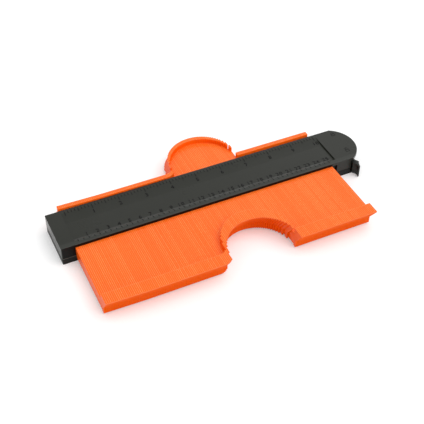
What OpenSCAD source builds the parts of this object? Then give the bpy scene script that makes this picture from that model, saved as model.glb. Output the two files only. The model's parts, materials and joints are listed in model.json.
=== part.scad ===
// Contour gauge with a cam lock
//
// A stack of thin teeth slides through a two-part body and takes the outline of
// whatever is pressed against it. A lever at the round end turns an eccentric cam,
// which pushes a block along the body and squeezes the stack so that it holds.
//
// Millimetres, Z up, X along the body towards the lever, the front faces -Y.
// The origin is the centre of the face that the body rests on.

/* [Body] */
// Width of the body, front face to back face
body_width = 46.4; // [38:0.2:60]
// Height of the closed body
body_height = 19.2; // [16:0.2:26]
// Length of the square end, up to the first tooth
end_block = 12.9; // [11:0.1:24]
// How far the round end bulges past half the body's width
end_bulge = 3.2; // [2:0.1:6]
// Thickness of the base under the teeth
floor_thickness = 2.5; // [2.2:0.1:4]
// Thickness of the cover over the teeth
lid_thickness = 3.3; // [2.8:0.1:5]
// Height of the line where the base meets the cover
seam_height = 6.9; // [6:0.1:8]
// Thickness of the outer walls
wall = 2; // [1.6:0.1:3]
// Radius of the upright corners of the square end
corner_radius = 1; // [0.6:0.1:3]
// Bevel along the cover's top edge
edge_bevel = 0.4; // [0.2:0.1:1.2]

/* [Scale panel] */
// Depth of the dished panel that carries the scales
dish_depth = 1.4; // [0.4:0.1:1.6]
// Plain rim left in front of and behind the dish
dish_rim = 4.6; // [3:0.1:8]
// Width of the slope along the front of the dish
front_slope = 4.4; // [3:0.1:8]
// Width of the slope along the back of the dish
back_slope = 15; // [6:0.5:20]
// Distance of the dish's left end from the first tooth
dish_start = 0.9; // [0.5:0.1:4]

/* [Teeth] */
// Distance from one tooth to the next
tooth_pitch = 1.6; // [1.2:0.0125:2]
// Teeth that are moved together as one group
teeth_per_group = 4; // [3:1:5]
// Free play between neighbouring teeth
tooth_play = 0.005; // [0.005:0.005:0.02]
// How far the teeth stick out of the front when pulled fully forward
tooth_reach = 77.2; // [60:0.2:100]
// Height of the hooked front heads above the body's top
head_rise = 2.6; // [1.5:0.1:5]
// Length of the front head, tip of the lip to its back face
head_length = 12.1; // [11:0.1:18]
// How far the lower part of the front head stands back from its lip
head_setback = 8.7; // [6:0.1:9.5]
// Height of the slope that leads up or down to a lip
slope_height = 12.7; // [8:0.1:15]
// Thickness of the lips at their tips
lip_thickness = 1.2; // [0.6:0.1:2]
// Height of the heads' underside above the resting face
head_low = 1.2; // [0.5:0.1:2.4]
// Thickness of the rear head at its top
rear_head = 4.6; // [3:0.1:8]
// How far the low rear lip sticks out behind the top of the rear head
rear_setback = 9.2; // [5:0.1:12]
// Height of the rear heads above the body's top
rear_rise = 1.2; // [0.6:0.1:4]

/* [Pressed outline] */
// Radius of the round thing that was pressed into the teeth
arch_radius = 32.4; // [20:0.2:40]
// How far the deepest tooth was pushed back
arch_depth = 40.6; // [36:0.2:48]
// Distance of the outline's centre from the first tooth
arch_centre = 146.6; // [100:0.05:160]
// How far the tooth beside the outline was dragged along
drag_depth = 4.6; // [0:0.1:6]
// Length of stack over which the drag dies out
drag_length = 8; // [4:0.1:14]
// How far the very first tooth has slipped back
end_slip = 1; // [0:0.1:4]
// Length of stack over which that slip dies out
slip_length = 38; // [10:1:80]
// How far the teeth on the right of the outline have slipped back
right_slip = 1.5; // [0:0.1:4]

/* [Lock] */
// Radius of the cam
cam_radius = 5.4; // [5.2:0.1:7]
// Distance of the cam's centre from the post
cam_throw = 0.6; // [0.4:0.05:0.8]
// Angle the lever turns through from free to locked
lever_sweep = 110; // [80:1:112]
// Direction the lever points in when free, counted from +X
lever_rest = -60; // [-60:1:-40]
// Radius of the post the lever turns on
post_radius = 3; // [2.4:0.1:3.2]
// Radial clearance between the post and the lever
post_clearance = 0.06; // [0.03:0.01:0.1]
// Height of the lever's thumb tab above the resting face
tab_top = 12.6; // [10:0.1:14]
// How far the thumb tab sticks out past the round end
tab_reach = 8.6; // [8:0.1:14]
// Width of the lever's arm
arm_width = 4.4; // [3:0.1:5]
// Length of the pressure block along the stack
block_thickness = 4.4; // [3.5:0.1:8]

/* [Screws] */
// Radius of the screw's shank
screw_radius = 1.4; // [1.2:0.05:1.5]
// Length of the screw's shank
screw_length = 11; // [9:0.5:11.5]
// Radius of the screw's head
screw_head_radius = 2.6; // [2.2:0.1:2.8]
// Height of the screw's head
screw_head_height = 1.3; // [1:0.1:1.4]

/* [Hidden] */
$fn = 96;
group_count = 40;
tooth_count = group_count * teeth_per_group;
housing_colour = [0.25, 0.26, 0.24];
lower_colour = [0.2, 0.2, 0.2];
tooth_colour = [1, 0.42, 0.1];
lock_colour = [0.15, 0.15, 0.15];
screw_colour = [0.6, 0.6, 0.62];
over = 1;

// Clearances
slide_gap = 0.1;
stop_gap = 0.2;
press_gap = 0.05;
cam_gap = 0.1;
wall_gap = 0.2;
turn_gap = 0.3;

// Cam: an eccentric whose reach towards the block grows evenly with the angle
cam_half = lever_sweep / 2;
cam_start = 90 - cam_half;
cam_low = cam_radius - cam_throw * sin(cam_half);
block_travel = 2 * cam_throw * sin(cam_half);

// Places along X
stack_length = tooth_pitch * tooth_count;
end_radius = body_width / 2 + end_bulge;
lock_bay = press_gap + block_travel + block_thickness + wall_gap;
pivot_offset = cam_low + cam_gap - wall_gap;
body_length = end_block + stack_length + lock_bay + pivot_offset + end_radius;
left_x = -body_length / 2;
stack_x = left_x + end_block;
bay_x = stack_x + stack_length;
partition_x = bay_x + lock_bay;
pivot_x = partition_x + pivot_offset;
side_wall_run = 10.7;
side_wall_end = pivot_x + side_wall_run;

// Places along Y and Z
front_y = -body_width / 2;
back_y = body_width / 2;
slot_top = body_height - lid_thickness;
plate_low = floor_thickness + slide_gap;
plate_high = slot_top - slide_gap;
head_high = body_height + head_rise;
rear_high = body_height + rear_rise;

// Teeth
tooth_width = tooth_pitch - tooth_play;
tooth_travel = tooth_reach - head_length - stop_gap;
arch_push = min(arch_depth, tooth_travel - 2);

// Seam groove, panel slopes, partition, guides and screws
seam_groove = 0.4;
seam_inset = 0.35;
slope_dip = 0.05;
partition = 2;
cam_room = 1.5;
cam_window = cam_radius + cam_throw + cam_room;
guide_y = 13.9;
guide_width = 4;
block_inset = 2.6;
boss_radius = 3.2;
boss_sink = 0.4;
boss_inset = wall + boss_radius - boss_sink;
screw_clearance = 0.3;
screw_seat = 1.6;
hole_clearance = 0.05;
pilot_room = 0.4;
end_screw_y = 13.9;
side_screw_x = pivot_x + 2.4;
screw_places = [
    [left_x + end_block / 2, -end_screw_y],
    [left_x + end_block / 2, end_screw_y],
    [side_screw_x, front_y + boss_inset],
    [side_screw_x, back_y - boss_inset],
    [pivot_x, 0]
];

// Lever arm and thumb tab, seen from above with the lever along +X
arm_start = 2;
arm_side = 0.4;
tab_low = 0.6;
tab_bite = 1.4;
tab_root = end_radius - tab_bite;
tab_tip = end_radius + tab_reach;
nose_radius = 1.3;
nose_middle = [tab_tip - 1.2, -2.1];
heel_radius = 1.9;
heel_middle = [tab_root + 4.2, 2.9];
thumb_radius = 5.5;
thumb_middle = [tab_root + 4.6, -6];
tab_front = [[tab_root + 2.2, -1.2], [tab_tip - 1.2, -3.4], [tab_tip, -1.6]];
tab_back = [[tab_root + 5.6, 3.4], [tab_root + 3.4, 4.6]];

function group_name(i) = str("tooth_group_", i < 10 ? "0" : "", i);

// Middle of tooth k, counted from the first tooth
function tooth_middle(k) = tooth_pitch * (k + 0.5);

// How far tooth k has been pushed back by the round thing
function pressed(k) =
    let (off = tooth_middle(k) - arch_centre)
    abs(off) < arch_radius
        ? arch_push - arch_radius + sqrt(arch_radius * arch_radius - off * off)
        : dragged(-off - arch_radius);

// A few teeth on the left of the outline were dragged along by their neighbours
function dragged(away) =
    away > 0 && away < drag_length ? drag_depth * pow(1 - away / drag_length, 2) : 0;

// The first teeth, and all those on the right of the outline, have slipped back a little
function slipped(k) =
    tooth_middle(k) > arch_centre
        ? right_slip
        : end_slip * max(0, 1 - tooth_pitch * k / slip_length);

function tooth_push(k) = max(slipped(k), pressed(k));

// Side profile of a tooth in Y and Z, pulled fully forward: the front lip is high, the rear lip low
lip_y = front_y - tooth_reach;
lower_y = lip_y + head_setback;
head_back_y = lip_y + head_length;
rear_y = back_y + stop_gap;
rear_back_y = rear_y + rear_head;
rear_tip_y = rear_back_y + rear_setback;
front_slope_high = head_high - lip_thickness;
rear_slope_low = head_low + lip_thickness;
tooth_profile = [
    [lower_y, head_low], [head_back_y, head_low], [head_back_y, plate_low],
    [rear_y, plate_low], [rear_y, head_low], [rear_tip_y, head_low],
    [rear_tip_y, rear_slope_low], [rear_back_y, rear_slope_low + slope_height],
    [rear_back_y, rear_high], [rear_y, rear_high], [rear_y, plate_high],
    [head_back_y, plate_high], [head_back_y, head_high],
    [lip_y, head_high], [lip_y, front_slope_high], [lower_y, front_slope_high - slope_height]
];

// Which parts there are, and which one to draw

// Outline of the body from above: square end, straight sides, round end
module plan_outline(inset = 0) {
    half = body_width / 2 - inset;
    left = left_x + inset;
    translate([left + corner_radius, -half])
        square([pivot_x - left - corner_radius, 2 * half]);
    translate([left, -half + corner_radius])
        square([2 * corner_radius, 2 * half - 2 * corner_radius]);
    for (side = [-1, 1])
        translate([left + corner_radius, side * (half - corner_radius)])
            circle(r = corner_radius);
    intersection() {
        translate([pivot_x, 0])
            circle(r = end_radius - inset);
        translate([pivot_x - over, -half])
            square([end_radius + 2 * over, 2 * half]);
    }
}

// Space that keeps the bevelled top edges: straight sides, square end and round end
module bevelled_space() {
    bevel_z = body_height - edge_bevel;
    intersection() {
        translate([left_x - over, 0, 0])
            rotate([90, 0, 90])
                linear_extrude(body_length + 2 * over)
                    polygon([
                        [front_y, 0], [back_y, 0], [back_y, bevel_z],
                        [back_y - edge_bevel, body_height], [front_y + edge_bevel, body_height],
                        [front_y, bevel_z]
                    ]);
        union() {
            translate([0, back_y + over, 0])
                rotate([90, 0, 0])
                    linear_extrude(body_width + 2 * over)
                        polygon([
                            [left_x, 0], [pivot_x, 0], [pivot_x, body_height],
                            [left_x + edge_bevel, body_height], [left_x, bevel_z]
                        ]);
            translate([pivot_x, 0, 0])
                rotate_extrude()
                    polygon([
                        [0, 0], [end_radius, 0], [end_radius, bevel_z],
                        [end_radius - edge_bevel, body_height], [0, body_height]
                    ]);
        }
    }
}

// Hollow of both shells between two heights: square end, tooth slot, lock bay and lever space
module hollow(low, high) {
    inner = body_width / 2 - wall;
    height = high - low;
    translate([left_x + wall, -inner, low])
        cube([end_block - 2 * wall, 2 * inner, height]);
    translate([stack_x, front_y - over, low])
        cube([partition_x - stack_x, body_width + 2 * over, height]);
    translate([partition_x - over, -cam_window, low])
        cube([partition + 2 * over, 2 * cam_window, height]);
    translate([partition_x + partition, -inner, low])
        cube([end_radius + pivot_offset, 2 * inner, height]);
    translate([side_wall_end, front_y - over, low])
        cube([end_radius, body_width + 2 * over, height]);
}

// Shallow panel sunk in the top, from the first tooth to the round end, with rounded slopes
module scale_dish() {
    low = body_height - dish_depth;
    flat_front = front_y + dish_rim + front_slope;
    flat_back = back_y - dish_rim - back_slope;
    translate([stack_x + dish_start, 0, 0])
        rotate([90, 0, 90])
            linear_extrude(partition_x - stack_x - dish_start) {
                translate([flat_front, low])
                    square([flat_back - flat_front, dish_depth + over]);
                translate([flat_front, low])
                    mirror([1, 0])
                        dish_slope(front_slope);
                translate([flat_back, low])
                    dish_slope(back_slope);
            }
}

// Round slope that rises from the panel's floor to the body's top within the given width
module dish_slope(width) {
    rise = dish_depth + slope_dip;
    radius = (width * width + rise * rise) / (2 * rise);
    intersection() {
        translate([0, radius - slope_dip])
            circle(r = radius, $fn = 720);
        translate([-over, 0])
            square([width + 2 * over, dish_depth + over]);
    }
}

// Lower shell: floor, low walls, guides for the block, seats for the screws
module base_shell() {
    color(lower_colour)
        difference() {
            union() {
                difference() {
                    union() {
                        linear_extrude(seam_height - seam_groove)
                            plan_outline();
                        linear_extrude(seam_height)
                            plan_outline(seam_inset);
                    }
                    hollow(floor_thickness, seam_height + over);
                }
                for (i = [0 : 3])
                    translate(concat(screw_places[i], [over]))
                        cylinder(h = seam_height - over, r = boss_radius);
            }
            for (side = [-1, 1])
                translate([
                    partition_x - over,
                    side * guide_y - guide_width / 2 - slide_gap,
                    floor_thickness
                ])
                    cube([partition + 2 * over, guide_width + 2 * slide_gap, seam_height]);
            for (place = screw_places)
                translate(concat(place, [0])) {
                    translate([0, 0, -over])
                        cylinder(h = screw_seat + over, r = screw_head_radius + screw_clearance);
                    cylinder(h = seam_height + over, r = screw_radius + screw_clearance);
                }
        }
}

// Upper shell: bevelled lid with the dished panel, walls, screw bosses and the lever's post
module top_cover() {
    pilot_top = screw_seat + screw_length + pilot_room;
    color(housing_colour)
        difference() {
            union() {
                difference() {
                    intersection() {
                        linear_extrude(body_height)
                            plan_outline();
                        bevelled_space();
                    }
                    translate([left_x - over, front_y - over, -over])
                        cube([body_length + 2 * over, body_width + 2 * over, seam_height + over]);
                    hollow(seam_height - over, slot_top);
                }
                for (i = [0 : 3])
                    translate(concat(screw_places[i], [seam_height]))
                        cylinder(h = slot_top - seam_height + over, r = boss_radius);
                translate([pivot_x, 0, floor_thickness])
                    cylinder(h = slot_top - floor_thickness + over, r = post_radius);
            }
            scale_dish();
            for (place = screw_places)
                translate(concat(place, [0]))
                    cylinder(h = pilot_top, r = screw_radius + hole_clearance);
        }
}

// Lever: eccentric cam on the post, a flat arm and a thumb tab outside the round end
module lock_lever() {
    low = floor_thickness + turn_gap;
    high = slot_top - turn_gap;
    color(lock_colour)
        translate([pivot_x, 0, 0])
            difference() {
                union() {
                    rotate([0, 0, cam_start])
                        translate([cam_throw, 0, low])
                            cylinder(h = high - low, r = cam_radius);
                    rotate([0, 0, lever_rest])
                        translate([arm_start, arm_side, low])
                            cube([tab_root - arm_start, arm_width, tab_top - low]);
                    rotate([0, 0, lever_rest])
                        difference() {
                            translate([0, 0, tab_low])
                                linear_extrude(tab_top - tab_low)
                                    thumb_tab();
                            translate([0, 0, -over])
                                cylinder(h = low + over, r = end_radius + turn_gap);
                        }
                }
                translate([0, 0, -over])
                    cylinder(h = body_height, r = post_radius + post_clearance);
            }
}

// Thumb tab from above, pointing along +X: hollow thumb face, rounded heel and tip
module thumb_tab() {
    inner = tab_root - tab_bite;
    difference() {
        union() {
            polygon(concat(
                [[inner, arm_side], [tab_root, arm_side]],
                tab_front,
                tab_back,
                [[inner, arm_side + arm_width]]
            ));
            translate(nose_middle)
                circle(r = nose_radius);
            translate(heel_middle)
                circle(r = heel_radius);
        }
        translate(thumb_middle)
            circle(r = thumb_radius);
    }
}

// Pressure block: squeezes the stack, two tongues guide it in the base's partition
module pressure_block() {
    length = body_width - 2 * block_inset;
    tongue_high = seam_height - 2 * slide_gap;
    color(lock_colour)
        translate([partition_x - wall_gap, 0, plate_low]) {
            translate([-block_thickness, -length / 2, 0])
                cube([block_thickness, length, plate_high - plate_low]);
            for (side = [-1, 1])
                translate([-over, side * guide_y - guide_width / 2, 0])
                    cube([over + wall_gap + partition, guide_width, tongue_high - plate_low]);
        }
}

// Five pan-head screws, put in from below
module case_screws() {
    color(screw_colour)
        for (place = screw_places)
            translate(concat(place, [screw_seat])) {
                translate([0, 0, -screw_head_height])
                    cylinder(h = screw_head_height, r = screw_head_radius);
                cylinder(h = screw_length, r = screw_radius);
            }
}

// One tooth: a flat blade with a hooked head at each end, the front one up and the rear one down
module tooth(k) {
    translate([stack_x + tooth_pitch * k + tooth_play / 2, tooth_push(k), 0])
        rotate([90, 0, 90])
            linear_extrude(tooth_width)
                polygon(tooth_profile);
}

// Neighbouring teeth that move together, each at its own place in the pressed outline
module tooth_group(i) {
    color(tooth_colour)
        for (k = [(i - 1) * teeth_per_group : i * teeth_per_group - 1])
            tooth(k);
}

base_shell();
top_cover();
lock_lever();
pressure_block();
case_screws();
for (i = [1 : group_count])
    tooth_group(i);
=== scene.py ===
import json
import math

import bpy
from mathutils import Matrix, Vector

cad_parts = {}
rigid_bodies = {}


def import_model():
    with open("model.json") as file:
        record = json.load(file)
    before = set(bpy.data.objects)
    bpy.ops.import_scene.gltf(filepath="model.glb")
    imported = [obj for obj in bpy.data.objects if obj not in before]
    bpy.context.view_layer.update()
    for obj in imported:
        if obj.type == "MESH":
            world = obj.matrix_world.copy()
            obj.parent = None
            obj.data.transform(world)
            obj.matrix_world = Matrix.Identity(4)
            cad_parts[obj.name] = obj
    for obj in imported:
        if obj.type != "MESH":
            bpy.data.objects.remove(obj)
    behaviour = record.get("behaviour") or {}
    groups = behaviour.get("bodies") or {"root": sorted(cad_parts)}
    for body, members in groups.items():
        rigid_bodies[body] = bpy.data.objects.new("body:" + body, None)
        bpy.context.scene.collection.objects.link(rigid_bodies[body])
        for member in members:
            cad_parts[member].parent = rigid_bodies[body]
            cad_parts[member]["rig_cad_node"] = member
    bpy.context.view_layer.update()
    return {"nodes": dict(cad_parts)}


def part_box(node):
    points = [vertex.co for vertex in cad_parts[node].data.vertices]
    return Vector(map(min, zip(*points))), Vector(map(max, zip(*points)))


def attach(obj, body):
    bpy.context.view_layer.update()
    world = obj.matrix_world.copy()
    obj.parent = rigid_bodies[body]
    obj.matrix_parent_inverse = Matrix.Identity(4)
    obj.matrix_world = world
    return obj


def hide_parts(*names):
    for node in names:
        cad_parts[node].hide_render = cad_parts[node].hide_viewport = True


bl_info = {
    "name": "Contour Gauge",
    "version": (1, 0, 0),
    "blender": (4, 5, 0),
    "location": "View3D > Sidebar > Gauge",
    "description": "Finishes, scales, signs, screws and stage for a contour gauge with a cam lock",
    "category": "Object",
}

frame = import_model()

MM = 0.001
CENTIMETRE = 10 * MM
INCH = 0.0254
HAIR = 0.1 * MM
TOUCH = 0.01 * MM

GROUPS = sorted(name for name in frame["nodes"] if name.startswith("tooth_group_"))
COVER_LOW, COVER_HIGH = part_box("top_cover")
FRONT_Y, BACK_Y, TOP_Z = COVER_LOW.y, COVER_HIGH.y, COVER_HIGH.z
SEAM_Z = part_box("base_shell")[1].z
STACK_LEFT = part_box(GROUPS[0])[0].x
STACK_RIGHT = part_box(GROUPS[-1])[1].x
TEETH_PER_GROUP = 4
PITCH = (STACK_RIGHT - STACK_LEFT) / (TEETH_PER_GROUP * len(GROUPS))

# Name of the attribute that holds how far a point lies behind the tip of its tooth
FROM_TIP = "from_tip"

# Sockets of a Mix node for colours: its share, its two colours and its result
MIX_SHARE, MIX_FIRST, MIX_SECOND, MIX_RESULT = 0, 6, 7, 2

# Parts of a face's normal between which a finish comes in
UPWARD = (0.3, 0.8)
LEFTWARD = (-0.3, -0.8)
FORWARD = (-0.90, -0.97)

# Distance from the tip of a tooth within which its lip gets the painted highlight in full
LIP_FULL = 0.02 * MM

# Copies of a node: points closer than WELD are one, faces within FLAT of each other are one,
# edges sharper than SHARP are bevelled and those blunter than SMOOTH are shaded smooth
WELD = 0.001 * MM
FLAT = math.radians(1.0)
SHARP = math.radians(35.0)
SMOOTH = math.radians(20.0)

# Flat marks are drawn at this height and then laid on the cover
DRAWN_Z = TOP_Z + 5 * MM
SLOPE_CUTS = 4
CAP_HEIGHT = 0.7

# Shares of a padlock sign's width, and the gap between its bow and its body
SIGN_TALL = 0.78
SIGN_CORNER = 0.16
BOW_RADIUS = 0.36
BOW_OPEN, BOW_CLOSED = 0.30, 0.16
BOW_GAP = 0.02 * MM

# Points of one screw lie within SCREW_REACH of each other, and each screw stands at its own turn
SCREW_REACH = 6 * MM
FIRST_TURN, NEXT_TURN = 0.3, 0.7
FACES_UP = 0.9

WHITE = (1.0, 1.0, 1.0, 1.0)
SENSOR_WIDTH = 36.0
CLIP_START, CLIP_END = 0.01, 50.0
FLOOR_RADIUS = 4.0
FLOOR_DROP = 0.05 * MM
PAPER_DEPTH = 0.01 * MM

# Part of a direction along X between which the studio goes from its left to its right
STUDIO_BLEND = (-0.2, 0.7)


# Settings


def length(name, description, default):
    return bpy.props.FloatProperty(
        name=name, description=description, default=default, min=0.0, precision=5, unit="LENGTH"
    )


def shade(name, description, default):
    return bpy.props.FloatVectorProperty(
        name=name, description=description, default=default, min=0.0, max=1.0, subtype="COLOR"
    )


def share(name, description, default):
    return bpy.props.FloatProperty(
        name=name, description=description, default=default, min=0.0, max=1.0, subtype="FACTOR"
    )


def amount(name, description, default):
    return bpy.props.FloatProperty(name=name, description=description, default=default, min=0.0)


def angle(name, description, degrees):
    return bpy.props.FloatProperty(
        name=name, description=description, default=math.radians(degrees), subtype="ANGLE"
    )


class FinishSettings(bpy.types.PropertyGroup):
    cover: shade("Cover", "Plastic of the upper shell", (0.0115, 0.0128, 0.0083))
    cover_rubbed: shade(
        "Cover, rubbed", "Upper shell where it is handled", (0.0150, 0.0162, 0.0118)
    )
    # Painted highlight: the pale rim colour stands in for light caught along the top's front rim
    # and its rounded edge
    cover_rim: shade(
        "Cover, rim", "Front rim of the upper shell, rubbed pale", (0.0215, 0.0230, 0.0180)
    )
    cover_front: shade(
        "Cover, front", "Front wall of the upper shell, in the shade", (0.0030, 0.0028, 0.0024)
    )
    cover_end: share("Cover, end", "Share of that shade right of the teeth", 0.25)
    cover_gloss: share("Cover gloss", "Gloss of the upper shell away from its front wall", 0.34)
    base: shade("Base", "Plastic of the lower shell", (0.0060, 0.0062, 0.0052))
    base_rubbed: shade(
        "Base, rubbed", "Lower shell where it slides on a bench", (0.0100, 0.0102, 0.0090)
    )
    # Painted highlight: the pale edge colour stands in for light caught by the ledge just under the
    # seam
    base_edge: shade(
        "Base, edge", "Upper edge of the lower shell, rubbed pale", (0.0850, 0.0830, 0.0720)
    )
    base_edge_width: length("Base edge width", "Width of the lower shell's pale edge", 0.9 * MM)
    lock: shade("Lock", "Plastic of the lever and the block", (0.0090, 0.0100, 0.0078))
    lock_rubbed: shade("Lock, rubbed", "Lever where the thumb pushes it", (0.0140, 0.0150, 0.0125))
    tooth: shade("Tooth", "Plastic of the teeth", (0.95, 0.118, 0.002))
    tooth_pale: shade("Tooth, pale", "Teeth that came out paler", (0.98, 0.146, 0.008))
    tooth_joint: shade("Tooth joint", "Line between two teeth in the shade", (0.90, 0.106, 0.001))
    tooth_edge: shade("Tooth edge", "Edge of a tooth that catches the light", (1.0, 0.435, 0.145))
    # Painted highlight: the pale lip colour stands in for light caught by the rounded front edge of
    # each lip
    tooth_lip: shade("Tooth lip", "Front of the lip, rubbed pale on the work", (0.96, 0.200, 0.055))
    tooth_gloss: share("Tooth gloss", "Gloss of the teeth's rubbed top faces", 0.47)
    tooth_side_gloss: share("Tooth side gloss", "Share of that gloss on their left sides", 0.62)
    mark: shade("Mark", "Raised scale marks and signs", (0.002, 0.002, 0.002))
    mark_worn: shade("Mark, worn", "Marks whose tops are worn", (0.004, 0.004, 0.004))
    # Millimetre lines are drawn paler than the cover and the other marks, with paler patches
    line_worn: shade("Fine line", "Millimetre lines, rubbed pale", (0.034, 0.036, 0.032))
    line_pale: shade(
        "Fine line, pale", "Millimetre lines where they are palest", (0.050, 0.052, 0.047)
    )
    screw: shade("Screw", "Zinc plated steel", (0.56, 0.56, 0.57))
    screw_dull: shade("Screw, dull", "Plating that has gone dull", (0.38, 0.38, 0.37))
    grain: length("Grain", "Size of the mould's grain", 0.35 * MM)
    grain_depth: length("Grain depth", "Depth of the mould's grain", 0.02 * MM)


class MarkSettings(bpy.types.PropertyGroup):
    zero: length("Zero", "Distance of both zeros from the first tooth", 4.24 * MM)
    relief: length("Relief", "How far the marks stand up", 0.14 * MM)
    sink: length("Sink", "How far the marks reach into the cover", 0.05 * MM)
    width: length("Line width", "Width of a long line", 0.45 * MM)
    fine_width: length("Fine line width", "Width of a millimetre line", 0.5 * MM)
    rim: length("Rim", "Flat rim beside the dished panel", 4.6 * MM)
    slope: length("Slope", "Width of the panel's front slope", 4.4 * MM)
    number: length("Number", "Height of a number", 4.3 * MM)
    number_weight: length("Number weight", "Added to each side of a number's strokes", 0.10 * MM)
    number_space: amount("Number space", "Spacing of a number's digits", 1.2)
    number_shift: length("Number shift", "How far a number stands left of its line", 0.3 * MM)
    centimetres: bpy.props.IntProperty(
        name="Centimetres", description="Last number in front", default=25
    )
    inches: bpy.props.IntProperty(name="Inches", description="Last number at the back", default=10)
    front_start: length("Front start", "Front edge to the lines in front", 3.0 * MM)
    millimetre: length("Millimetre", "Length of a millimetre line", 1.8 * MM)
    half_centimetre: length("Half centimetre", "Length of a half centimetre line", 2.8 * MM)
    centimetre: length("Centimetre", "Length of a centimetre line", 3.8 * MM)
    front_number: length("Front numbers", "Front edge to the middle of the numbers", 10.3 * MM)
    back_start: length("Back start", "Back edge to the lines at the back", 2.6 * MM)
    back_width: length("Back line width", "Width of an inch scale line", 0.65 * MM)
    eighth: length("Eighth", "Length of an eighth inch line", 2.8 * MM)
    half: length("Half", "Length of a half inch line", 4.2 * MM)
    inch: length("Inch", "Length of an inch line", 5.2 * MM)
    back_number: length("Back numbers", "Back edge to the middle of the numbers", 11.6 * MM)
    sign: length("Sign", "Width of a padlock sign", 4.0 * MM)
    sign_line: length("Sign line", "Width of the signs' lines", 0.45 * MM)
    open_sign: bpy.props.FloatVectorProperty(
        name="Open sign", description="Place of the open padlock", size=2, unit="LENGTH",
        default=(139.6 * MM, -11.6 * MM)
    )
    closed_sign: bpy.props.FloatVectorProperty(
        name="Closed sign", description="Place of the closed padlock", size=2, unit="LENGTH",
        default=(139.3 * MM, 15.0 * MM)
    )


class ToothSettings(bpy.types.PropertyGroup):
    edge: length("Edge", "Bevel along the edges of a tooth", 0.13 * MM)
    joint: share("Joint", "Share of a tooth's width that the joint line takes", 0.2)
    joint_strength: share("Joint strength", "How strongly the joint lines show", 0.95)
    tint: share("Tint", "How much the teeth differ in colour", 0.14)
    head: length("Head", "Length of a front head", 12.1 * MM)
    # Painted highlight: the pale line along the back of a front head stands in for light caught by
    # its rounded top edge
    ridge: length("Ridge", "Width of the rubbed line along the back of a front head", 1.2 * MM)
    ridge_wear: share("Ridge wear", "How pale the rubbed line is", 0.2)


class LeverSettings(bpy.types.PropertyGroup):
    edge: length("Edge", "Rounding along the edges of the lever", 0.35 * MM)


class ScrewSettings(bpy.types.PropertyGroup):
    crown: length("Crown", "Rounding of the head's rim", 0.5 * MM)
    point: length("Point", "Length of the tapered point", 1.2 * MM)
    point_width: share("Point width", "Share of the shank's width at the point's end", 0.35)
    recess: length("Recess", "Length of the cross recess", 2.8 * MM)
    recess_width: length("Recess width", "Width of the cross recess", 0.6 * MM)
    recess_depth: length("Recess depth", "Depth of the cross recess", 0.8 * MM)
    recess_floor: share("Recess floor", "Share of the recess's size at its floor", 0.55)


class StageSettings(bpy.types.PropertyGroup):
    azimuth: angle("Azimuth", "Camera's turn about the upright", -25.41)
    elevation: angle("Elevation", "Camera's height above the horizon", 43.216)
    roll: angle("Roll", "Camera's roll", 0.333)
    distance: length("Distance", "Camera to the point it looks at", 796.805 * MM)
    look_at: bpy.props.FloatVectorProperty(
        name="Look at", description="Point the camera looks at", size=3, unit="LENGTH",
        default=(-7.473 * MM, -16.895 * MM, 0.0)
    )
    lens: bpy.props.FloatProperty(
        name="Lens", description="Focal length for a 36 mm sensor", default=73.23, unit="CAMERA"
    )
    sky: amount("Sky", "Strength of the even light all round", 0.78)
    bright_left: amount("Left wall", "Brightness of the studio's left as it is mirrored", 0.9)
    bright_right: amount("Right wall", "Brightness of the studio's right as it is mirrored", 1.25)
    sun: amount("Lamp", "Strength of the soft lamp", 1.3)
    sun_azimuth: angle("Lamp azimuth", "Direction the lamp shines from", 50.0)
    sun_elevation: angle("Lamp elevation", "Height of the lamp", 60.0)
    sun_size: angle("Lamp size", "Angle that each lamp fills", 60.0)
    side: amount("Side lamp", "Strength of the low lamp on the left", 0.2)
    side_azimuth: angle("Side lamp azimuth", "Direction the low lamp shines from", -100.0)
    side_elevation: angle("Side lamp elevation", "Height of the low lamp", 22.0)
    floor: shade("Floor", "Colour of the floor", (0.84, 0.84, 0.84))
    floor_glow: amount("Floor glow", "Added to the floor as it is seen", 0.2)


# Modelling helpers


def deselect():
    if bpy.context.object and bpy.context.object.mode != "OBJECT":
        bpy.ops.object.mode_set(mode="OBJECT")
    bpy.ops.object.select_all(action="DESELECT")


def select(*objects):
    deselect()
    for piece in objects:
        piece.select_set(True)
    bpy.context.view_layer.objects.active = objects[-1]


def duplicate(piece):
    select(piece)
    bpy.ops.object.duplicate()
    return bpy.context.object


def edit(piece, mode="FACE"):
    select(piece)
    bpy.ops.object.mode_set(mode="EDIT")
    bpy.ops.mesh.select_mode(type=mode)
    bpy.ops.mesh.select_all(action="SELECT")


def pick_top_faces(piece):
    """Selects the faces that look up, in edit mode."""
    bpy.ops.mesh.select_all(action="DESELECT")
    bpy.ops.object.mode_set(mode="OBJECT")
    for face in piece.data.polygons:
        face.select = face.normal.z > FACES_UP
    bpy.ops.object.mode_set(mode="EDIT")


def pick_edges(piece, wanted):
    """Selects the edges whose two ends are wanted, in edit mode."""
    bpy.ops.mesh.select_all(action="DESELECT")
    bpy.ops.object.mode_set(mode="OBJECT")
    points = piece.data.vertices
    for line in piece.data.edges:
        line.select = all(wanted(points[i].co) for i in line.vertices)
    bpy.ops.object.mode_set(mode="EDIT")


def extrude(x, y, z):
    bpy.ops.mesh.extrude_region_move(TRANSFORM_OT_translate={"value": (x, y, z)})


def apply_place(piece):
    select(piece)
    bpy.ops.object.transform_apply(location=True, rotation=True, scale=True)


def modifier(piece, kind, **values):
    """Adds a modifier, sets its values and applies it."""
    select(piece)
    added = piece.modifiers.new(kind.title(), kind)
    for key, value in values.items():
        setattr(added, key, value)
    bpy.ops.object.modifier_apply(modifier=added.name)


def join(name, pieces):
    select(*pieces)
    if len(pieces) > 1:
        bpy.ops.object.join()
    piece = bpy.context.object
    piece.name = piece.data.name = name
    apply_place(piece)
    return piece


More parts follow.
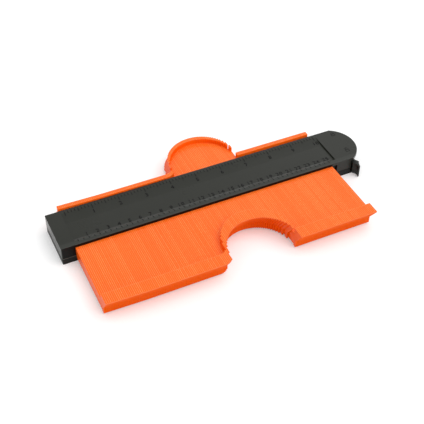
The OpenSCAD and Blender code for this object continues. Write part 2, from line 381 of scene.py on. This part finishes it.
def bevelled_copy(node, name, width, segments):
    """A copy of a node's solid with its flat faces made whole and its sharp edges bevelled."""
    copy = duplicate(frame["nodes"][node])
    del copy["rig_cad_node"]
    copy.name = copy.data.name = name
    edit(copy, "VERT")
    bpy.ops.mesh.remove_doubles(threshold=WELD)
    bpy.ops.mesh.dissolve_limited(angle_limit=FLAT)
    bpy.ops.object.mode_set(mode="OBJECT")
    modifier(
        copy, "BEVEL", width=width, segments=segments, limit_method="ANGLE", angle_limit=SHARP
    )
    bpy.ops.object.shade_smooth_by_angle(angle=SMOOTH)
    return copy


def finish_piece(piece, body, material):
    deselect()
    piece.data.materials.clear()
    piece.data.materials.append(material)
    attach(piece, body)


def dress(nodes, material):
    for name in nodes:
        mesh = frame["nodes"][name].data
        mesh.materials.clear()
        mesh.materials.append(material)


# Shader helpers


def is_socket(value):
    return hasattr(value, "is_output")


def opaque(colour):
    return (*colour, 1.0)


def add(tree, kind, **values):
    node = tree.nodes.new("ShaderNode" + kind)
    for key, value in values.items():
        setattr(node, key, value)
    return node


def wire(tree, source, target):
    """Feeds a socket from another one, or sets it to a plain value."""
    if is_socket(source):
        tree.links.new(source, target)
    else:
        target.default_value = source


def split(tree, vector):
    """The X, Y and Z of a vector."""
    node = add(tree, "SeparateXYZ")
    wire(tree, vector, node.inputs["Vector"])
    return node.outputs


def object_place(tree):
    return add(tree, "TexCoord").outputs["Object"]


def surface_normal(tree):
    return add(tree, "NewGeometry").outputs["Normal"]


def calculate(tree, operation, first, second=0.0):
    """A Math node; its inputs are sockets or plain numbers."""
    node = add(tree, "Math", operation=operation)
    wire(tree, first, node.inputs[0])
    wire(tree, second, node.inputs[1])
    return node.outputs["Value"]


def times(tree, first, second):
    return calculate(tree, "MULTIPLY", first, second)


def spread(tree, value, low, high, out_low=0.0, out_high=1.0):
    """A Map Range node; its limits are sockets or plain numbers."""
    node = add(tree, "MapRange", interpolation_type="SMOOTHSTEP")
    wire(tree, value, node.inputs["Value"])
    limits = {"From Min": low, "From Max": high, "To Min": out_low, "To Max": out_high}
    for label, limit in limits.items():
        wire(tree, limit, node.inputs[label])
    return node.outputs["Result"]


def blend(tree, share_of_second, first, second):
    """A colour mix; its colours are sockets or plain colours."""
    node = add(tree, "Mix", data_type="RGBA")
    wire(tree, share_of_second, node.inputs[MIX_SHARE])
    for place, value in ((MIX_FIRST, first), (MIX_SECOND, second)):
        wire(tree, value if is_socket(value) else opaque(value), node.inputs[place])
    return node.outputs[MIX_RESULT]


def noise(tree, place, scale, detail=2.0, rough=0.5):
    node = add(tree, "TexNoise")
    wire(tree, place, node.inputs["Vector"])
    wire(tree, scale, node.inputs["Scale"])
    wire(tree, detail, node.inputs["Detail"])
    wire(tree, rough, node.inputs["Roughness"])
    return node.outputs["Fac"]


def own_number(tree, seed):
    """A number from 0 to 1 that belongs to each seed."""
    node = add(tree, "TexWhiteNoise", noise_dimensions="1D")
    wire(tree, seed, node.inputs["W"])
    return node.outputs["Value"]


def bump(tree, shader, height, depth, strength=1.0):
    node = add(tree, "Bump")
    wire(tree, strength, node.inputs["Strength"])
    wire(tree, depth, node.inputs["Distance"])
    wire(tree, height, node.inputs["Height"])
    wire(tree, node.outputs["Normal"], shader.inputs["Normal"])


# Shared effects


def new_group(name, inputs, outputs):
    """A shader node group with named sockets, or None where it is there already."""
    if name in bpy.data.node_groups:
        return None
    tree = bpy.data.node_groups.new(name, "ShaderNodeTree")
    for label, kind in inputs:
        tree.interface.new_socket(label, in_out="INPUT", socket_type="NodeSocket" + kind)
    for label, kind in outputs:
        tree.interface.new_socket(label, in_out="OUTPUT", socket_type="NodeSocket" + kind)
    tree.nodes.new("NodeGroupInput").name = "In"
    tree.nodes.new("NodeGroupOutput").name = "Out"
    return tree


def place_group(tree, group, **values):
    node = add(tree, "Group", node_tree=group)
    for label, value in values.items():
        wire(tree, value, node.inputs[label.replace("_", " ")])
    return node.outputs


def mould_grain_group():
    """Fine pebbled grain that a mould leaves: its height, and gloss that varies with it."""
    tree = new_group(
        "Mould grain",
        [("Place", "Vector"), ("Grain size", "Float"), ("Smooth", "Float"), ("Rough", "Float")],
        [("Height", "Float"), ("Roughness", "Float")],
    )
    if tree:
        finer, pebble_height, gloss_limits = 2.3, 0.7, (0.32, 0.72)
        inside, outside = tree.nodes["In"].outputs, tree.nodes["Out"].inputs
        scale = calculate(tree, "DIVIDE", 1.0, inside["Grain size"])
        pebble = add(tree, "TexVoronoi", feature="SMOOTH_F1")
        wire(tree, inside["Place"], pebble.inputs["Vector"])
        wire(tree, scale, pebble.inputs["Scale"])
        fine = noise(tree, inside["Place"], times(tree, scale, finer), detail=3.0)
        coarse = times(tree, pebble.outputs["Distance"], pebble_height)
        wire(tree, calculate(tree, "ADD", coarse, fine), outside["Height"])
        patch = noise(tree, inside["Place"], scale=38.0, detail=4.0, rough=0.6)
        gloss = spread(tree, patch, *gloss_limits, inside["Smooth"], inside["Rough"])
        wire(tree, gloss, outside["Roughness"])
    return bpy.data.node_groups["Mould grain"]


def handling_group():
    """Colour of plastic that hands and benches have rubbed in soft patches with fine scuffs."""
    tree = new_group(
        "Handling",
        [("Place", "Vector"), ("Clean", "Color"), ("Rubbed", "Color"), ("Patch scale", "Float")],
        [("Colour", "Color")],
    )
    if tree:
        patch_limits, scuff_limits = (0.35, 0.75), (0.60, 0.78)
        unscuffed, scuff_scale = 0.5, (90.0, 900.0, 900.0)
        inside, outside = tree.nodes["In"].outputs, tree.nodes["Out"].inputs
        soft = noise(tree, inside["Place"], inside["Patch scale"], detail=3.0, rough=0.55)
        patch = spread(tree, soft, *patch_limits)
        stretch = add(tree, "Mapping")
        wire(tree, inside["Place"], stretch.inputs["Vector"])
        wire(tree, scuff_scale, stretch.inputs["Scale"])
        scuff = spread(tree, noise(tree, stretch.outputs["Vector"], scale=1.0), *scuff_limits)
        scuffed = calculate(tree, "ADD", times(tree, scuff, 1.0 - unscuffed), unscuffed)
        rub = times(tree, patch, scuffed)
        wire(tree, blend(tree, rub, inside["Clean"], inside["Rubbed"]), outside["Colour"])
    return bpy.data.node_groups["Handling"]


def tooth_lines_group():
    """For a stack of teeth along X: its joints, a tint for each tooth, and how joints are lit."""
    tree = new_group(
        "Tooth lines",
        [("Place", "Vector"), ("First", "Float"), ("Pitch", "Float"), ("Line", "Float")],
        [("Joint", "Float"), ("Tint", "Float"), ("Edge", "Float")],
    )
    if tree:
        middle, other_seed, dimmest = 0.5, 417.0, 0.5
        inside, outside = tree.nodes["In"].outputs, tree.nodes["Out"].inputs
        along = calculate(tree, "SUBTRACT", split(tree, inside["Place"])["X"], inside["First"])
        count = calculate(tree, "DIVIDE", along, inside["Pitch"])
        past = calculate(tree, "SUBTRACT", calculate(tree, "FRACT", count), middle)
        off_middle = calculate(tree, "ABSOLUTE", past)
        start = calculate(tree, "SUBTRACT", middle, inside["Line"])
        wire(tree, spread(tree, off_middle, start, middle), outside["Joint"])
        wire(tree, own_number(tree, calculate(tree, "FLOOR", count)), outside["Tint"])
        nearest = calculate(tree, "ROUND", count)
        lit = own_number(tree, calculate(tree, "ADD", nearest, other_seed))
        wire(tree, spread(tree, lit, 0.0, 1.0, dimmest, 1.0), outside["Edge"])
    return bpy.data.node_groups["Tooth lines"]


# Finishes


def once(make):
    """Makes a finish when it is first asked for; its name is the function's in plain words."""
    name = make.__name__.replace("_", " ").capitalize()

    def finish():
        return bpy.data.materials.get(name) or make(name)

    return finish


def new_finish(name):
    material = bpy.data.materials.new(name)
    material.use_nodes = True
    return (material, *parts(material))


def parts(material):
    """The node tree of a finish and its shader."""
    return material.node_tree, material.node_tree.nodes["Principled BSDF"]


def paint_over(tree, shader, share_of_colour, colour):
    """Blends a colour over what the shader's base colour is so far."""
    target = shader.inputs["Base Color"]
    wire(tree, blend(tree, share_of_colour, target.links[0].from_socket, colour), target)


def add_gloss(tree, shader, weight, roughness):
    wire(tree, weight, shader.inputs["Coat Weight"])
    wire(tree, roughness, shader.inputs["Coat Roughness"])


def moulded_plastic(name, clean, rubbed, smooth, rough, patches, specular, grain_strength=0.6):
    """Moulded plastic with a fine grain and soft rubbed patches."""
    finish = bpy.context.scene.gauge_finish
    material, tree, shader = new_finish(name)
    place = object_place(tree)
    grain = place_group(
        tree, mould_grain_group(), Place=place, Grain_size=finish.grain, Smooth=smooth, Rough=rough
    )
    handled = place_group(
        tree, handling_group(), Place=place, Clean=opaque(clean), Rubbed=opaque(rubbed),
        Patch_scale=patches
    )
    wire(tree, handled["Colour"], shader.inputs["Base Color"])
    wire(tree, grain["Roughness"], shader.inputs["Roughness"])
    wire(tree, specular, shader.inputs["Specular IOR Level"])
    bump(tree, shader, grain["Height"], finish.grain_depth, grain_strength)
    return material


@once
def cover_plastic(name):
    """The upper shell's plastic, with a painted highlight along its front rim, and painted shade
    and no gloss on its front wall.
    """
    finish = bpy.context.scene.gauge_finish
    rim = FRONT_Y + bpy.context.scene.gauge_marks.rim
    material = moulded_plastic(
        name, finish.cover, finish.cover_rubbed,
        smooth=0.27, rough=0.37, patches=26.0, specular=0.13
    )
    tree, shader = parts(material)
    axes = split(tree, object_place(tree))
    forward = spread(tree, split(tree, surface_normal(tree))["Y"], *FORWARD)
    # Painted highlight: a paler band along the front rim of the top
    paint_over(tree, shader, spread(tree, axes["Y"], rim + MM, rim - MM), finish.cover_rim)
    # Painted shade on the front wall, only a share of it on the round end right of the teeth; the
    # shaded wall gets no gloss
    beside = spread(
        tree, axes["X"], STACK_RIGHT + MM, STACK_RIGHT - MM, finish.cover_end, 1.0
    )
    front = times(tree, forward, beside)
    paint_over(tree, shader, front, finish.cover_front)
    weight = spread(tree, front, 0.0, 1.0, finish.cover_gloss, 0.0)
    add_gloss(tree, shader, weight, roughness=0.32)
    return material


@once
def base_plastic(name):
    """The lower shell's plastic, with a painted highlight along its upper edge that fades out
    across the teeth towards the right.
    """
    finish = bpy.context.scene.gauge_finish
    edge = SEAM_Z - finish.base_edge_width
    material = moulded_plastic(
        name, finish.base, finish.base_rubbed,
        smooth=0.40, rough=0.52, patches=34.0, specular=0.17
    )
    tree, shader = parts(material)
    axes = split(tree, object_place(tree))
    # Painted highlight along the upper edge, full at the left end of the teeth and gone at their
    # right end
    high = spread(tree, axes["Z"], edge - HAIR, edge + HAIR)
    left = spread(tree, axes["X"], STACK_RIGHT, STACK_LEFT)
    paint_over(tree, shader, times(tree, high, left), finish.base_edge)
    return material


@once
def lock_plastic(name):
    finish = bpy.context.scene.gauge_finish
    return moulded_plastic(
        name, finish.lock, finish.lock_rubbed,
        smooth=0.36, rough=0.54, patches=60.0, specular=0.32
    )


@once
def mark_plastic(name):
    finish = bpy.context.scene.gauge_finish
    return moulded_plastic(
        name, finish.mark, finish.mark_worn,
        smooth=0.4, rough=0.55, patches=45.0, specular=0.14
    )


@once
def fine_line_plastic(name):
    finish = bpy.context.scene.gauge_finish
    return moulded_plastic(
        name, finish.line_worn, finish.line_pale,
        smooth=0.45, rough=0.6, patches=45.0, specular=0.5
    )


@once
def tooth_plastic(name):
    """Bright plastic of the teeth, with the joint lines, each tooth's own tint, painted highlights
    on the joints' top edges, on the back of each front head and on the front of each lip, and gloss
    on their top faces and left sides.
    """
    finish = bpy.context.scene.gauge_finish
    teeth = bpy.context.scene.gauge_teeth
    material = moulded_plastic(
        name, finish.tooth, finish.tooth_pale,
        smooth=0.38, rough=0.5, patches=18.0, specular=0.03, grain_strength=0.4
    )
    tree, shader = parts(material)
    lines = place_group(
        tree, tooth_lines_group(), Place=object_place(tree), First=STACK_LEFT, Pitch=PITCH,
        Line=teeth.joint
    )
    facing = split(tree, surface_normal(tree))
    upward = spread(tree, facing["Z"], *UPWARD)
    leftward = spread(tree, facing["X"], *LEFTWARD, 0.0, finish.tooth_side_gloss)
    paint_over(tree, shader, times(tree, lines["Tint"], teeth.tint), finish.tooth_pale)
    # Joint lines: the joint colour on side faces, and on top faces a painted highlight of a lit
    # edge, each joint lit by its own amount
    seam = blend(
        tree, times(tree, lines["Edge"], upward), finish.tooth_joint, finish.tooth_edge
    )
    paint_over(tree, shader, times(tree, lines["Joint"], teeth.joint_strength), seam)
    # Painted highlight along the rounded back edge of each front head's top, in the colour of a lit
    # edge
    from_tip = add(tree, "Attribute", attribute_name=FROM_TIP).outputs["Fac"]
    before = spread(tree, from_tip, teeth.head - teeth.ridge, teeth.head)
    behind = spread(tree, from_tip, teeth.head + HAIR, teeth.head)
    ridge = times(tree, times(tree, before, behind), upward)
    paint_over(tree, shader, times(tree, ridge, teeth.ridge_wear), finish.tooth_edge)
    # Painted highlight on the front of each lip
    paint_over(tree, shader, spread(tree, from_tip, HAIR, LIP_FULL), finish.tooth_lip)
    rubbed = calculate(tree, "MAXIMUM", upward, leftward)
    add_gloss(tree, shader, times(tree, rubbed, finish.tooth_gloss), roughness=0.22)
    return material


@once
def screw_steel(name):
    """Zinc plated steel with a fine grain and dull patches."""
    dull_limits, bright_roughness, dull_roughness = (0.38, 0.7), 0.26, 0.46
    finish = bpy.context.scene.gauge_finish
    material, tree, shader = new_finish(name)
    place = object_place(tree)
    patch = spread(tree, noise(tree, place, scale=420.0, detail=3.0), *dull_limits)
    roughness = spread(tree, patch, 0.0, 1.0, bright_roughness, dull_roughness)
    wire(tree, blend(tree, patch, finish.screw, finish.screw_dull), shader.inputs["Base Color"])
    wire(tree, roughness, shader.inputs["Roughness"])
    wire(tree, 1.0, shader.inputs["Metallic"])
    bump(tree, shader, noise(tree, place, scale=2600.0), finish.grain_depth, strength=0.3)
    return material


# Shells, lock and teeth


class GAUGE_OT_shells(bpy.types.Operator):
    """Gives the two shells their grained dark plastic"""

    bl_idname = "gauge.shells"
    bl_label = "Finish the shells"

    def execute(self, context):
        dress(["top_cover"], cover_plastic())
        dress(["base_shell"], base_plastic())
        return {"FINISHED"}


class GAUGE_OT_lock(bpy.types.Operator):
    """Rounds the lever's edges and gives it and the pressure block their black plastic"""

    bl_idname = "gauge.lock"
    bl_label = "Model the lock"

    def execute(self, context):
        edge = context.scene.gauge_lever.edge
        dress(["lock_lever", "pressure_block"], lock_plastic())
        lever = bevelled_copy("lock_lever", "rounded_lever", edge, segments=3)
        finish_piece(lever, "lever", lock_plastic())
        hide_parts("lock_lever")
        return {"FINISHED"}


def measure_tips(teeth):
    """Stores how far each point lies behind the tip of its tooth."""
    points = teeth.data.vertices
    places = [int((point.co.x - STACK_LEFT) / PITCH) for point in points]
    tips = {}
    for place, point in zip(places, points):
        tips[place] = min(point.co.y, tips.get(place, point.co.y))
    distances = teeth.data.attributes.new(FROM_TIP, "FLOAT", "POINT")
    for place, point, distance in zip(places, points, distances.data):
        distance.value = point.co.y - tips[place]


class GAUGE_OT_teeth(bpy.types.Operator):
    """Bevels the edges of every tooth, so that the joints between them show"""

    bl_idname = "gauge.teeth"
    bl_label = "Model the teeth"

    def execute(self, context):
        edge = context.scene.gauge_teeth.edge
        for name in GROUPS:
            copy_name = name.replace("tooth_group", "bevelled_teeth")
            teeth = bevelled_copy(name, copy_name, edge, segments=2)
            measure_tips(teeth)
            finish_piece(teeth, name.replace("tooth_group", "teeth"), tooth_plastic())
            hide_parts(name)
        return {"FINISHED"}


# Raised marks


def line_row(width, x, step, count, outer_y, inner_y, more=None):
    """Flat lines side by side along X: one line, repeated by one array or two."""
    deselect()
    bpy.ops.mesh.primitive_plane_add(size=1.0, location=(x, (outer_y + inner_y) / 2, DRAWN_Z))
    row = bpy.context.object
    row.scale = (width, abs(outer_y - inner_y), 1.0)
    apply_place(row)
    for offset, copies in ((step, count),) + ((more,) if more else ()):
        modifier(
            row, "ARRAY", count=copies, use_relative_offset=False, use_constant_offset=True,
            constant_offset_displace=(offset, 0.0, 0.0)
        )
    return row


def number(text, x, y):
    """A flat number, its middle at x and y."""
    marks = bpy.context.scene.gauge_marks
    deselect()
    bpy.ops.object.text_add(location=(0.0, 0.0, 0.0))
    digits = bpy.context.object
    digits.data.body = text
    digits.data.size = marks.number / CAP_HEIGHT
    digits.data.resolution_u = 3
    digits.data.offset = marks.number_weight
    digits.data.space_character = marks.number_space
    bpy.ops.object.convert(target="MESH")
    digits = bpy.context.object
    low = [min(v.co[i] for v in digits.data.vertices) for i in range(2)]
    high = [max(v.co[i] for v in digits.data.vertices) for i in range(2)]
    tall = marks.number / (high[1] - low[1])
    digits.scale = (tall, tall, 1.0)
    digits.location = (
        x - tall * (low[0] + high[0]) / 2, y - tall * (low[1] + high[1]) / 2, DRAWN_Z
    )
    apply_place(digits)
    return digits


def raise_marks(name, flat, material):
    """Lays flat marks on the cover and gives them their relief."""
    marks = bpy.context.scene.gauge_marks
    piece = join(name, flat)
    slope = FRONT_Y + marks.rim
    cuts = [slope + marks.slope * i / SLOPE_CUTS for i in range(SLOPE_CUTS + 1)]
    for cut in cuts + [BACK_Y - marks.rim]:
        edit(piece)
        bpy.ops.mesh.bisect(plane_co=(0.0, cut, 0.0), plane_no=(0.0, 1.0, 0.0))
    bpy.ops.object.mode_set(mode="OBJECT")
    modifier(
        piece, "SHRINKWRAP", target=frame["nodes"]["top_cover"], wrap_method="PROJECT",
        use_project_z=True, use_negative_direction=True, use_positive_direction=False
    )
    edit(piece)
    bpy.ops.transform.translate(value=(0.0, 0.0, -marks.sink))
    bpy.ops.object.mode_set(mode="OBJECT")
    modifier(piece, "SOLIDIFY", thickness=marks.relief + marks.sink, offset=1.0)
    finish_piece(piece, "housing", material)


def raise_numbers(name, last, zero, step, y):
    """Raises the numbers from 1 to the last one, a step apart."""
    first = zero - bpy.context.scene.gauge_marks.number_shift
    numbers = [number(str(i), first + step * i, y) for i in range(1, last + 1)]
    raise_marks(name, numbers, mark_plastic())


class GAUGE_OT_centimetre_scale(bpy.types.Operator):
    """Raises the centimetre lines and numbers along the front of the cover"""

    bl_idname = "gauge.centimetre_scale"
    bl_label = "Model the centimetre scale"

    def execute(self, context):
        marks = context.scene.gauge_marks
        zero = STACK_LEFT + marks.zero
        start = FRONT_Y + marks.front_start
        count = marks.centimetres
        wide, fine = marks.width, marks.fine_width
        half = CENTIMETRE / 2
        fine_rows = [
            line_row(fine, zero + MM, MM, 4, start, start + marks.millimetre, (half, 2 * count)),
        ]
        rows = [
            line_row(wide, zero + half, CENTIMETRE, count, start, start + marks.half_centimetre),
            line_row(wide, zero, CENTIMETRE, count + 1, start, start + marks.centimetre),
        ]
        raise_marks("millimetre_lines", fine_rows, fine_line_plastic())
        raise_marks("centimetre_lines", rows, mark_plastic())
        row_y = FRONT_Y + marks.front_number
        raise_numbers("centimetre_numbers", count, zero, CENTIMETRE, row_y)
        return {"FINISHED"}


class GAUGE_OT_inch_scale(bpy.types.Operator):
    """Raises the inch lines and numbers along the back of the cover"""

    bl_idname = "gauge.inch_scale"
    bl_label = "Model the inch scale"

    def execute(self, context):
        marks = context.scene.gauge_marks
        zero = STACK_LEFT + marks.zero
        start = BACK_Y - marks.back_start
        count = marks.inches
        wide = marks.back_width
        half, eighth = INCH / 2, INCH / 8
        rows = [
            line_row(
                wide, zero + eighth, eighth, 3, start, start - marks.eighth, (half, 2 * count)
            ),
            line_row(wide, zero + half, INCH, count, start, start - marks.half),
            line_row(wide, zero, INCH, count + 1, start, start - marks.inch),
        ]
        raise_marks("inch_lines", rows, mark_plastic())
        raise_numbers("inch_numbers", count, zero, INCH, BACK_Y - marks.back_number)
        return {"FINISHED"}


def padlock_body(x, y, wide, line):
    """A flat frame with round corners."""
    deselect()
    bpy.ops.mesh.primitive_plane_add(size=1.0, location=(x, y, DRAWN_Z))
    body = bpy.context.object
    body.scale = (wide, SIGN_TALL * wide, 1.0)
    apply_place(body)
    edit(body, "VERT")
    bpy.ops.mesh.bevel(offset=SIGN_CORNER * wide, segments=3, affect="VERTICES")
    bpy.ops.mesh.select_mode(type="FACE")
    bpy.ops.mesh.select_all(action="SELECT")
    bpy.ops.mesh.inset(thickness=line)
    bpy.ops.mesh.delete(type="FACE")
    bpy.ops.object.mode_set(mode="OBJECT")
    return body


def padlock_bow(x, y, drop, radius, line, sides):
    """A flat half ring above x and y, with a leg of length drop on each of the sides."""
    deselect()
    bpy.ops.mesh.primitive_circle_add(
        vertices=24, radius=radius, fill_type="NGON", location=(x, y, DRAWN_Z)
    )
    bow = bpy.context.object
    apply_place(bow)
    edit(bow)
    bpy.ops.mesh.inset(thickness=line)
    bpy.ops.mesh.delete(type="FACE")
    bpy.ops.mesh.select_all(action="SELECT")
    bpy.ops.mesh.bisect(plane_co=(x, y, DRAWN_Z), plane_no=(0.0, 1.0, 0.0), clear_inner=True)
    for side in sides:
        pick_edges(bow, lambda co: abs(co.y - y) < TOUCH and side * (co.x - x) > 0)
        extrude(0.0, -drop, 0.0)
    bpy.ops.object.mode_set(mode="OBJECT")
    return bow


def padlock(place, is_open):
    """A flat padlock: a frame for its body and a bow above it, free on one side if open."""
    marks = bpy.context.scene.gauge_marks
    wide, line = marks.sign, marks.sign_line
    x, y = place
    top = y + SIGN_TALL * wide / 2
    bow_y = top + (BOW_OPEN if is_open else BOW_CLOSED) * wide
    sides = (-1,) if is_open else (-1, 1)
    return [
        padlock_body(x, y, wide, line),
        padlock_bow(x, bow_y, bow_y - top - BOW_GAP, BOW_RADIUS * wide, line, sides),
    ]


class GAUGE_OT_lock_signs(bpy.types.Operator):
    """Raises an open and a closed padlock on the round end, beside the lever's two places"""

    bl_idname = "gauge.lock_signs"
    bl_label = "Model the lock signs"

    def execute(self, context):
        marks = context.scene.gauge_marks
        signs = padlock(tuple(marks.open_sign), True) + padlock(tuple(marks.closed_sign), False)
        raise_marks("lock_signs", signs, mark_plastic())
        return {"FINISHED"}


# Screws


def apart(first, second):
    """Distance between two points as seen from above."""
    return (first.xy - second.xy).length


def screw_middles(points):
    """The middle of each screw, from the points of all of them."""
    middles = []
    for point in points:
        if not any(apart(point, middle) < SCREW_REACH for middle in middles):
            near = [other for other in points if apart(other, point) < SCREW_REACH]
            middles.append(sum(near, Vector()) / len(near))
    return middles


def turned_screw(points, middle):
    """A screw upright at the origin, with the sizes of the one whose middle is given."""
    settings = bpy.context.scene.gauge_screws
    low, high = min(p.z for p in points), max(p.z for p in points)
    one = [p for p in points if apart(p, middle) < SCREW_REACH]
    widest = max(apart(p, middle) for p in one)
    shank = min(apart(p, middle) for p in one if p.z > high - MM)
    seat = max(p.z for p in one if apart(p, middle) > widest - HAIR)
    deselect()
    bpy.ops.mesh.primitive_cylinder_add(
        vertices=32, radius=widest, depth=seat - low, location=(0.0, 0.0, (seat + low) / 2)
    )
    screw = bpy.context.object
    apply_place(screw)
    edit(screw)
    pick_top_faces(screw)
    bpy.ops.mesh.inset(thickness=widest - shank)
    extrude(0.0, 0.0, high - seat - settings.point)
    extrude(0.0, 0.0, settings.point)
    bpy.ops.transform.resize(value=(settings.point_width, settings.point_width, 1.0))
    pick_edges(screw, lambda co: co.z < low + TOUCH)
    bpy.ops.mesh.bevel(offset=settings.crown, segments=4, affect="EDGES")
    bpy.ops.object.mode_set(mode="OBJECT")
    for turn in (0.0, math.pi / 2):
        cut_slot(screw, low, turn)
    return screw


def cut_slot(screw, z, turn):
    """Cuts one slot of the cross recess into the underside of a screw's head."""
    settings = bpy.context.scene.gauge_screws
    deselect()
    bpy.ops.mesh.primitive_cube_add(size=1.0, location=(0.0, 0.0, z), rotation=(0.0, 0.0, turn))
    slot = bpy.context.object
    slot.scale = (settings.recess, settings.recess_width, 2 * settings.recess_depth)
    apply_place(slot)
    edit(slot)
    pick_top_faces(slot)
    bpy.ops.transform.resize(value=(settings.recess_floor, settings.recess_floor, 1.0))
    bpy.ops.object.mode_set(mode="OBJECT")
    modifier(screw, "BOOLEAN", operation="DIFFERENCE", solver="EXACT", object=slot)
    bpy.data.objects.remove(slot)


class GAUGE_OT_case_screws(bpy.types.Operator):
    """Models the pan head screws with a cross recess under the base"""

    bl_idname = "gauge.case_screws"
    bl_label = "Model the screws"

    def execute(self, context):
        points = [v.co.copy() for v in frame["nodes"]["case_screws"].data.vertices]
        middles = screw_middles(points)
        screw = turned_screw(points, middles[0])
        copies = []
        for i, middle in enumerate(middles):
            copy = duplicate(screw)
            copy.rotation_euler = (0.0, 0.0, NEXT_TURN * i + FIRST_TURN)
            copy.location = (middle.x, middle.y, 0.0)
            apply_place(copy)
            copies.append(copy)
        bpy.data.objects.remove(screw)
        piece = join("recessed_screws", copies)
        bpy.ops.object.shade_smooth_by_angle(angle=SHARP)
        finish_piece(piece, "housing", screw_steel())
        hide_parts("case_screws")
        return {"FINISHED"}


# Stage


def seen_directly(tree):
    """1 where a ray comes straight from the camera, a reflection or a clear body."""
    path = add(tree, "LightPath").outputs
    mirrored = calculate(tree, "MAXIMUM", path["Is Glossy Ray"], path["Is Transmission Ray"])
    return calculate(tree, "MAXIMUM", path["Is Camera Ray"], mirrored)


def make_sky(stage):
    world = bpy.data.worlds.new("Studio")
    bpy.context.scene.world = world
    world.use_nodes = True
    tree = world.node_tree
    background = tree.nodes["Background"]
    across = split(tree, add(tree, "TexCoord").outputs["Generated"])["X"]
    mirrored = spread(tree, across, *STUDIO_BLEND, stage.bright_left, stage.bright_right)
    strength = spread(tree, seen_directly(tree), 0.0, 1.0, stage.sky, mirrored)
    wire(tree, WHITE, background.inputs["Color"])
    wire(tree, strength, background.inputs["Strength"])


def make_floor(stage):
    deselect()
    bpy.ops.mesh.primitive_circle_add(
        vertices=96, radius=FLOOR_RADIUS, fill_type="NGON", location=(0.0, 0.0, -FLOOR_DROP)
    )
    floor = bpy.context.object
    floor.name = "studio_floor"
    material, tree, shader = new_finish("Floor paper")
    bump(tree, shader, noise(tree, object_place(tree), scale=900.0), PAPER_DEPTH)
    wire(tree, opaque(stage.floor), shader.inputs["Base Color"])
    wire(tree, 0.9, shader.inputs["Roughness"])
    wire(tree, 0.1, shader.inputs["Specular IOR Level"])
    wire(tree, WHITE, shader.inputs["Emission Color"])
    glow = times(tree, seen_directly(tree), stage.floor_glow)
    wire(tree, glow, shader.inputs["Emission Strength"])
    floor.data.materials.append(material)


def back_from(azimuth, elevation):
    """Direction from the middle towards a camera or lamp."""
    return Vector((
        math.sin(azimuth) * math.cos(elevation),
        -math.cos(azimuth) * math.cos(elevation),
        math.sin(elevation),
    ))


def make_lamp(name, strength, size, azimuth, elevation):
    deselect()
    bpy.ops.object.light_add(type="SUN", location=(0.0, 0.0, 1.0))
    lamp = bpy.context.object
    lamp.name = name
    lamp.rotation_euler = back_from(azimuth, elevation).to_track_quat("Z", "Y").to_euler()
    lamp.data.energy = strength
    lamp.data.angle = size


def make_camera(stage):
    deselect()
    bpy.ops.object.camera_add()
    camera = bpy.context.object
    camera.name = "view_camera"
    camera.data.sensor_fit = "HORIZONTAL"
    camera.data.sensor_width = SENSOR_WIDTH
    camera.data.lens = stage.lens
    camera.data.clip_start, camera.data.clip_end = CLIP_START, CLIP_END
    back = back_from(stage.azimuth, stage.elevation)
    level = Vector((math.cos(stage.azimuth), math.sin(stage.azimuth), 0.0))
    upright = back.cross(level)
    right = math.cos(stage.roll) * level + math.sin(stage.roll) * upright
    up = math.cos(stage.roll) * upright - math.sin(stage.roll) * level
    turn = Matrix((right, up, back)).transposed().to_4x4()
    place = Vector(stage.look_at) + stage.distance * back
    camera.matrix_world = Matrix.Translation(place) @ turn
    bpy.context.scene.camera = camera


class GAUGE_OT_stage(bpy.types.Operator):
    """Sets the pale floor, the soft light and the camera"""

    bl_idname = "gauge.stage"
    bl_label = "Set the stage"

    def execute(self, context):
        stage = context.scene.gauge_stage
        size = stage.sun_size
        context.scene.view_settings.view_transform = "Standard"
        make_sky(stage)
        make_floor(stage)
        make_lamp("soft_lamp", stage.sun, size, stage.sun_azimuth, stage.sun_elevation)
        make_lamp("side_lamp", stage.side, size, stage.side_azimuth, stage.side_elevation)
        make_camera(stage)
        return {"FINISHED"}


# Panel and registration


SETTINGS = {
    "gauge_finish": FinishSettings,
    "gauge_marks": MarkSettings,
    "gauge_teeth": ToothSettings,
    "gauge_lever": LeverSettings,
    "gauge_screws": ScrewSettings,
    "gauge_stage": StageSettings,
}
STEPS = [
    GAUGE_OT_shells,
    GAUGE_OT_lock,
    GAUGE_OT_teeth,
    GAUGE_OT_centimetre_scale,
    GAUGE_OT_inch_scale,
    GAUGE_OT_lock_signs,
    GAUGE_OT_case_screws,
    GAUGE_OT_stage,
]


class GAUGE_PT_panel(bpy.types.Panel):
    """Lists the settings and the steps of the gauge"""

    bl_idname = "GAUGE_PT_panel"
    bl_label = "Contour gauge"
    bl_space_type = "VIEW_3D"
    bl_region_type = "UI"
    bl_category = "Gauge"

    def draw(self, context):
        for key, group in SETTINGS.items():
            box = self.layout.box()
            for name in group.__annotations__:
                box.prop(getattr(context.scene, key), name)
        for step in STEPS:
            self.layout.operator(step.bl_idname)


def register():
    for group in SETTINGS.values():
        bpy.utils.register_class(group)
    for key, group in SETTINGS.items():
        setattr(bpy.types.Scene, key, bpy.props.PointerProperty(type=group))
    for step in STEPS:
        bpy.utils.register_class(step)
    bpy.utils.register_class(GAUGE_PT_panel)


def unregister():
    bpy.utils.unregister_class(GAUGE_PT_panel)
    for step in reversed(STEPS):
        bpy.utils.unregister_class(step)
    for key in SETTINGS:
        delattr(bpy.types.Scene, key)
    for group in SETTINGS.values():
        bpy.utils.unregister_class(group)


def main():
    register()
    bpy.ops.gauge.shells()
    bpy.ops.gauge.lock()
    bpy.ops.gauge.teeth()
    bpy.ops.gauge.centimetre_scale()
    bpy.ops.gauge.inch_scale()
    bpy.ops.gauge.lock_signs()
    bpy.ops.gauge.case_screws()
    bpy.ops.gauge.stage()


if __name__ == "__main__":
    main()
